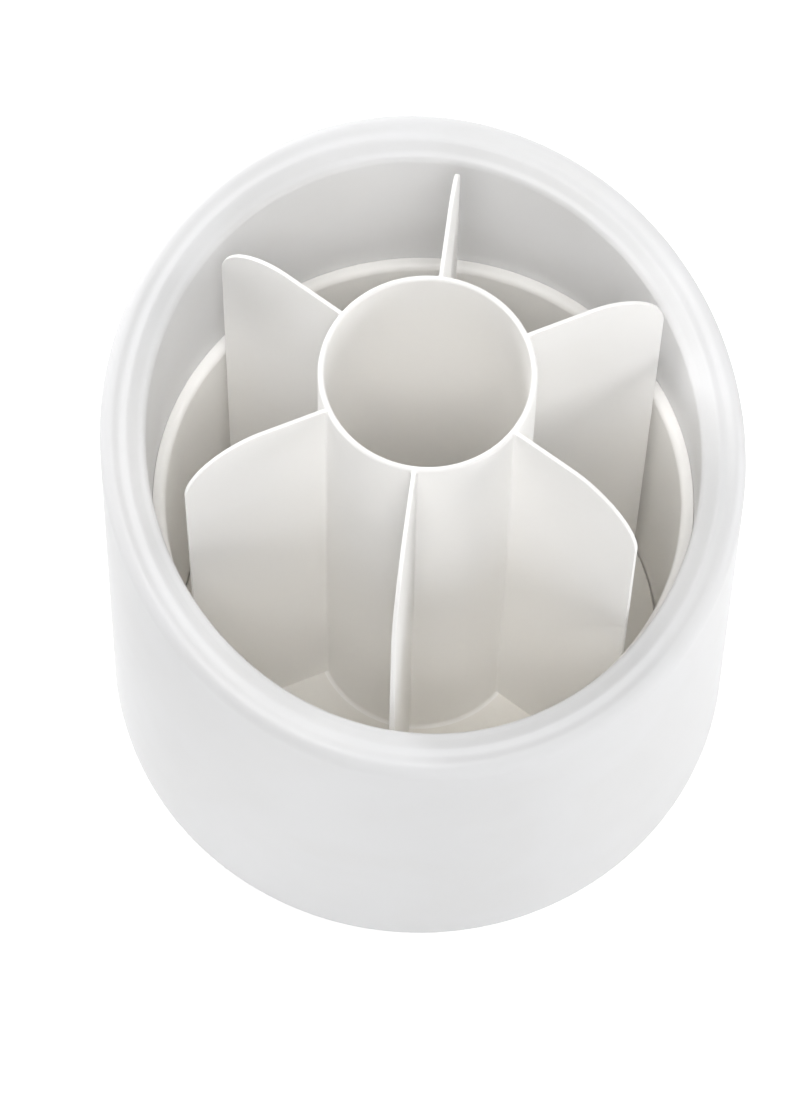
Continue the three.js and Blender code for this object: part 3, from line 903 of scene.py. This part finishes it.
class HOLDER_OT_screws(bpy.types.Operator):
    """Makes the screws of the base plate, the pivot screw and its washer"""

    bl_idname = "holder.make_screws"
    bl_label = "Screws and washer"

    def execute(self, context):
        finish = screw_zinc()
        head = (SCREW_HIGH[0] - SCREW_LOW[0]) / 2
        one = screw_mesh(SCREW_LOW[2], SCREW_HIGH[2], head, 1.0 * MM, 1.2 * MM, finish)
        ring = ring_of(moved(one, (SCREW_CIRCLE, 0, 0)), SCREW_COUNT, 0.0, finish)
        finished("plate_screws", ring, "housing",
                 [f"shell_screw_{i}" for i in range(1, SCREW_COUNT + 1)], 40)
        pivot = screw_mesh(PIVOT_LOW[2], PIVOT_HIGH[2], PIVOT_HIGH[0], 1.5 * MM, 1.5 * MM, finish)
        finished("centre_screw", pivot, "drum", ["pivot_screw"], 40)
        low, high, radius = WASHER_LOW[2], WASHER_HIGH[2], WASHER_HIGH[0]
        washer = turned([
            (PIVOT_HOLE_RADIUS, low + 0.1 * MM), (PIVOT_HOLE_RADIUS + 0.1 * MM, low),
            *arc(radius - 0.25 * MM, low + 0.25 * MM, 0.25 * MM, -90, 0, 4),
            *arc(radius - 0.15 * MM, high - 0.15 * MM, 0.15 * MM, 0, 90, 4),
            (PIVOT_HOLE_RADIUS, high),
        ], finish, 64, closed=True)
        finished("centre_washer", washer, "drum", ["pivot_washer"], 40)
        return {"FINISHED"}


# ---- drum and ball ring ----

class HOLDER_OT_cup(bpy.types.Operator):
    """Makes the spinning inner cup with its rim, spigot, track and drive keys"""

    bl_idname = "holder.make_cup"
    bl_label = "Inner cup"

    def execute(self, context):
        s = context.scene.holder_cup
        finish = cup_plastic()
        out = CUP_HIGH[0]
        wide = out + s.rim_step
        inner = out - s.wall
        rim = CUP_HIGH[2]
        spigot_end = CUP_LOW[2]
        under = s.floor_top - s.floor_thickness
        high_track = BALL_MIDDLE + s.track_gap / 2
        half = s.track_half_width
        hole = PIVOT_HOLE_RADIUS
        cup = turned([
            (0.0, s.floor_top - 0.9 * MM),
            (hole, s.floor_top - 0.9 * MM),
            (hole, spigot_end + 0.2 * MM),
            (hole + 0.2 * MM, spigot_end),
            (s.spigot_radius - 0.3 * MM, spigot_end),
            (s.spigot_radius, spigot_end + 0.3 * MM),
            (s.spigot_radius, under),
            (s.track_radius - half, under),
            (s.track_radius - half, high_track),
            *track_groove(s, high_track, False),
            (s.track_radius + half, high_track),
            (s.track_radius + half, under),
            *arc(out - s.corner, under + s.corner, s.corner, -90, 0, 10),
            (out, rim - s.rim_height - s.rim_step),
            (wide, rim - s.rim_height),
            *arc(wide - 0.1 * MM, rim - 0.1 * MM, 0.1 * MM, 0, 90, 3),
            *arc(inner + s.rim_round, rim - s.rim_round, s.rim_round, 90, 180, 6),
            (inner, s.floor_top),
            (0.0, s.floor_top),
        ], finish, 160)
        keys = []
        for turn in (s.key_left, s.key_right):
            key = block((s.key_reach + 1 * MM, s.key_width, s.key_height + 0.6 * MM),
                        (inner + 1 * MM - (s.key_reach + 1 * MM) / 2, 0,
                         s.floor_top + s.key_height / 2 - 0.3 * MM), 0.25 * MM, finish)
            keys.append(moved(key, turn=turn))
        finished("drum_cup", joined(cup, *keys), "drum", ["inner_cup"])
        return {"FINISHED"}


class HOLDER_OT_balls(bpy.types.Operator):
    """Makes the steel balls and gives the cage its finish"""

    bl_idname = "holder.make_balls"
    bl_label = "Ball ring"

    def execute(self, context):
        s = context.scene.holder_cup
        finish = ball_steel()
        work = bmesh.new()
        bmesh.ops.create_icosphere(work, subdivisions=4, radius=s.ball_radius)
        mesh = bpy.data.meshes.new("ball")
        work.to_mesh(mesh)
        work.free()
        mesh.materials.append(finish)
        x, y, z = ((BALL_LOW[i] + BALL_HIGH[i]) / 2 for i in range(3))
        ring = ring_of(moved(mesh, (s.track_radius, 0, z)), s.ball_count, math.atan2(y, x), finish)
        finished("bearing_balls", ring, "ball_ring",
                 [f"ball_{i}" for i in range(1, s.ball_count + 1)])
        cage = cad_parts["ball_cage"]
        for slot in cage.material_slots:
            slot.material = cage_plastic()
        return {"FINISHED"}


# ---- divider ----

def tube_radius_at(s, z):
    """Outer radius of the tube at a height."""
    fall = (s.tube_top - z) / (s.tube_top - TUBE_LOW[2])
    return s.tube_radius + (s.tube_foot_radius - s.tube_radius) * fall


class HOLDER_OT_tube(bpy.types.Operator):
    """Makes the divider's open centre tube"""

    bl_idname = "holder.make_tube"
    bl_label = "Centre tube"

    def execute(self, context):
        s = context.scene.holder_divider
        finish = divider_plastic()
        low = TRAY_HIGH[2] - 0.2 * MM
        foot = s.tube_foot_radius
        fillet = s.tube_fillet
        round_r = s.tube_wall / 2
        base = TRAY_HIGH[2]
        tube = turned([
            (foot + fillet, low),
            *[(r, z) for r, z in arc(foot + fillet, base + fillet, fillet, 270, 180, 6)],
            *[(tube_radius_at(s, z), z) for z in (0.04, 0.08, 0.12)],
            *arc(s.tube_radius - round_r, s.tube_top - round_r, round_r, 0, 180, 12),
            (s.tube_radius - s.tube_wall - 0.05 * MM, 0.08),
            (s.tube_radius - s.tube_wall - 0.1 * MM, low + 0.001),
            (s.tube_radius - s.tube_wall - 0.1 * MM, low),
        ], finish, 144, closed=True)
        finished("divider_tube", tube, "divider", ["centre_tube"])
        return {"FINISHED"}


def fin_mesh(s, finish):
    """One fin at angle 0: drafted blade with rounded free edges, sunk into the tube's wall."""
    low = TRAY_HIGH[2] - 0.2 * MM
    top = s.tube_top
    span = s.fin_reach - s.fin_flat
    steps = 36
    outline = [(s.tube_foot_radius - 0.5 * MM, low), (s.tube_radius - 0.5 * MM, top - 0.15 * MM)]
    outline += [(s.tube_radius + (s.fin_flat - s.tube_radius) * u, top) for u in (0.12, 0.5)]
    for i in range(steps + 1):
        u = math.sin(math.pi / 2 * i / steps) ** (2 / s.fin_curve)
        fall = (1 - u ** s.fin_curve) ** (1 / s.fin_curve) if u < 1 else 0.0
        outline.append((s.fin_flat + span * u, top - s.fin_shoulder * (1 - fall)))
    outline.append((s.fin_reach + s.fin_edge_draft, low))
    work = bmesh.new()
    sides = []
    for side in (-1, 1):
        ring = []
        for r, z in outline:
            thick = 1 + s.fin_draft * (top - z) / (top - low)
            ring.append(work.verts.new((r, side * s.fin_thickness / 2 * thick, z)))
        sides.append(ring)
        work.faces.new(ring)
    count = len(outline)
    for i in range(count):
        j = (i + 1) % count
        work.faces.new((sides[0][i], sides[0][j], sides[1][j], sides[1][i]))
    bmesh.ops.recalc_face_normals(work, faces=work.faces)
    free = []
    for edge in work.edges:
        a, b = edge.verts
        same_side = a.co.y * b.co.y > 0
        off_tube = min(a.co.x, b.co.x) > s.tube_radius - 0.4 * MM
        above_foot = max(a.co.z, b.co.z) > low + 1 * MM
        if same_side and off_tube and above_foot:
            free.append(edge)
    bmesh.ops.bevel(work, geom=free, offset=s.fin_edge_round, segments=4, profile=0.5,
                    affect="EDGES", clamp_overlap=True)
    mesh = bpy.data.meshes.new("fin")
    work.to_mesh(mesh)
    work.free()
    mesh.materials.append(finish)
    return mesh


def root_fillet(s, finish):
    """Hollow-cornered strip that blends one fin into the tube."""
    work = bmesh.new()
    loops = []
    for z in (TRAY_HIGH[2] - 0.2 * MM, s.tube_top - 0.55 * MM):
        depth = (s.tube_top - z) / (s.tube_top - TRAY_HIGH[2])
        half = s.fin_thickness / 2 * (1 + s.fin_draft * depth) - 0.01 * MM
        root = tube_radius_at(s, z)
        f = s.fin_fillet
        side = []
        for i in range(9):
            a = math.pi / 2 * i / 8
            y = half + f * (1 - math.cos(a))
            x = root + f * (1 - math.sin(a))
            sag = root - math.sqrt(max(root * root - y * y, 0.0))
            side.append((x - sag - 0.03 * MM * i / 8, y))
        inner = [(root - 0.6 * MM, half + f)]
        path = side + inner + [(x, -y) for x, y in reversed(side + inner)]
        loops.append([work.verts.new((x, y, z)) for x, y in path])
    count = len(loops[0])
    for i in range(count):
        j = (i + 1) % count
        work.faces.new((loops[0][i], loops[0][j], loops[1][j], loops[1][i]))
    work.faces.new(loops[0])
    work.faces.new(loops[1])
    bmesh.ops.recalc_face_normals(work, faces=work.faces)
    mesh = bpy.data.meshes.new("fillet")
    work.to_mesh(mesh)
    work.free()
    mesh.materials.append(finish)
    return mesh


class HOLDER_OT_fins(bpy.types.Operator):
    """Makes the ring of fins and blends them into the tube"""

    bl_idname = "holder.make_fins"
    bl_label = "Fins"

    def execute(self, context):
        s = context.scene.holder_divider
        finish = divider_plastic()
        one = joined(fin_mesh(s, finish), root_fillet(s, finish))
        ring = ring_of(one, s.fin_count, s.fin_first, finish)
        finished("divider_fins", ring, "divider",
                 [f"fin_{i}" for i in range(1, s.fin_count + 1)], 40)
        return {"FINISHED"}


class HOLDER_OT_tray(bpy.types.Operator):
    """Makes the divider's floor with a notch for each drive key"""

    bl_idname = "holder.make_tray"
    bl_label = "Divider floor"

    def execute(self, context):
        cup = context.scene.holder_cup
        # The floor takes a darker, warmer copy of the divider's white, painted shade deep in the cup.
        finish = tray_plastic()
        low, high, radius = TRAY_LOW[2], TRAY_HIGH[2], TRAY_HIGH[0]
        tray = turned([
            (0.0, low),
            *arc(radius - 0.3 * MM, low + 0.3 * MM, 0.3 * MM, -90, 0, 4),
            *arc(radius - 0.3 * MM, high - 0.3 * MM, 0.3 * MM, 0, 90, 4),
            (0.0, high),
        ], finish, 160)
        inner = CUP_HIGH[0] - cup.wall
        reach = cup.key_reach + 1.4 * MM
        for turn in (cup.key_left, cup.key_right):
            notch = block((reach, cup.key_width + 0.8 * MM, 4 * MM),
                          (inner + 1 * MM - reach / 2, 0, (low + high) / 2), 0.0, finish)
            tray = cut(tray, moved(notch, turn=turn))
        finished("divider_floor", tray, "divider", ["divider_tray"], 40)
        return {"FINISHED"}


# ---- stage ----

def area_lamp(name, place, size, watts):
    """Round soft lamp that looks at the holder."""
    lamp = bpy.data.lights.new(name, "AREA")
    lamp.shape = "DISK"
    lamp.size = size
    lamp.energy = watts
    holder = bpy.data.objects.new(name, lamp)
    holder.location = place
    aim = Vector(LAMP_AIM) - Vector(place)
    holder.rotation_euler = aim.to_track_quat("-Z", "Y").to_euler()
    bpy.context.scene.collection.objects.link(holder)


def camera_ray_share(tree):
    """1 for rays that show the background: camera, mirror and glass rays."""
    path = tree.nodes.new("ShaderNodeLightPath")
    total = path.outputs["Is Camera Ray"]
    for other in ("Is Glossy Ray", "Is Transmission Ray"):
        most = tree.nodes.new("ShaderNodeMath")
        most.operation = "MAXIMUM"
        tree.links.new(total, most.inputs[0])
        tree.links.new(path.outputs[other], most.inputs[1])
        total = most.outputs[0]
    return total


def floor_finish(stage):
    """Pale floor that keeps shadows and shows near white to the camera."""
    material = bpy.data.materials.new("floor_paper")
    material.use_nodes = True
    tree = material.node_tree
    shader = tree.nodes["Principled BSDF"]
    shader.inputs["Base Color"].default_value = (*stage.floor_colour, 1.0)
    shader.inputs["Roughness"].default_value = 0.9
    shader.inputs["Specular IOR Level"].default_value = 0.1
    shader.inputs["Emission Color"].default_value = (1.0, 1.0, 1.0, 1.0)
    glow = tree.nodes.new("ShaderNodeMath")
    glow.operation = "MULTIPLY"
    glow.inputs[1].default_value = stage.floor_glow
    tree.links.new(camera_ray_share(tree), glow.inputs[0])
    tree.links.new(glow.outputs[0], shader.inputs["Emission Strength"])
    return material


class HOLDER_OT_stage(bpy.types.Operator):
    """Makes the floor, the lamps, the world and the camera"""

    bl_idname = "holder.make_stage"
    bl_label = "Stage"

    def execute(self, context):
        scene = context.scene
        stage = scene.holder_stage
        mesh = bpy.data.meshes.new("floor")
        half = FLOOR_HALF_WIDTH
        mesh.from_pydata([(-half, -half, 0), (half, -half, 0), (half, half, 0), (-half, half, 0)],
                         [], [(0, 1, 2, 3)])
        mesh.materials.append(floor_finish(stage))
        ground = bpy.data.objects.new("floor", mesh)
        scene.collection.objects.link(ground)

        for name, place in LAMPS.items():
            area_lamp(name, place, stage.lamp_size, getattr(stage, name + "_power"))
        scene.cycles.diffuse_bounces = LIGHT_BOUNCES

        world = bpy.data.worlds.new("studio")
        scene.world = world
        world.use_nodes = True
        tree = world.node_tree
        back = tree.nodes["Background"]
        back.inputs["Color"].default_value = (1.0, 1.0, 1.0, 1.0)
        level = tree.nodes.new("ShaderNodeMapRange")
        level.inputs["To Min"].default_value = stage.world_level
        level.inputs["To Max"].default_value = 1.0
        tree.links.new(camera_ray_share(tree), level.inputs["Value"])
        tree.links.new(level.outputs[0], back.inputs["Strength"])

        lens = bpy.data.cameras.new("camera")
        lens.lens = stage.lens
        lens.clip_end = 20.0
        eye = bpy.data.objects.new("camera", lens)
        aim = Vector((stage.aim_side, 0.0, stage.aim_height))
        back_way = Vector((0.0, -math.cos(stage.elevation), math.sin(stage.elevation)))
        place = aim + back_way * stage.distance
        down = stage.elevation + stage.nod
        turn = Matrix.Rotation(math.pi / 2 - down, 4, "X") @ Matrix.Rotation(stage.roll, 4, "Z")
        eye.matrix_world = Matrix.Translation(place) @ turn
        scene.collection.objects.link(eye)
        scene.camera = eye
        scene.view_settings.view_transform = "Standard"
        return {"FINISHED"}


# ---- add-on ----

class HOLDER_PT_panel(bpy.types.Panel):
    """Lists the pieces, their sizes and finishes."""

    bl_idname = "HOLDER_PT_panel"
    bl_label = "Brush holder"
    bl_space_type = "VIEW_3D"
    bl_region_type = "UI"
    bl_category = "Holder"

    def draw(self, context):
        for operator in OPERATORS:
            self.layout.operator(operator.bl_idname)
        for name in SETTINGS:
            box = self.layout.box()
            group = getattr(context.scene, name)
            for key in group.__annotations__:
                box.prop(group, key)


SETTINGS = {
    "holder_shell": HolderShellSizes,
    "holder_cup": HolderCupSizes,
    "holder_divider": HolderDividerSizes,
    "holder_finishes": HolderFinishes,
    "holder_stage": HolderStage,
}
OPERATORS = (
    HOLDER_OT_shell, HOLDER_OT_base, HOLDER_OT_pads, HOLDER_OT_screws, HOLDER_OT_cup,
    HOLDER_OT_balls, HOLDER_OT_tube, HOLDER_OT_fins, HOLDER_OT_tray, HOLDER_OT_stage,
)


def register():
    for kind in (*SETTINGS.values(), *OPERATORS, HOLDER_PT_panel):
        bpy.utils.register_class(kind)
    for name, kind in SETTINGS.items():
        setattr(bpy.types.Scene, name, PointerProperty(type=kind))


def unregister():
    for name in SETTINGS:
        delattr(bpy.types.Scene, name)
    for kind in (HOLDER_PT_panel, *reversed(OPERATORS), *reversed(SETTINGS.values())):
        bpy.utils.unregister_class(kind)


def main():
    register()
    bpy.ops.holder.make_shell()
    bpy.ops.holder.make_base()
    bpy.ops.holder.make_pads()
    bpy.ops.holder.make_screws()
    bpy.ops.holder.make_cup()
    bpy.ops.holder.make_balls()
    bpy.ops.holder.make_tube()
    bpy.ops.holder.make_fins()
    bpy.ops.holder.make_tray()
    bpy.ops.holder.make_stage()


if __name__ == "__main__":
    main()
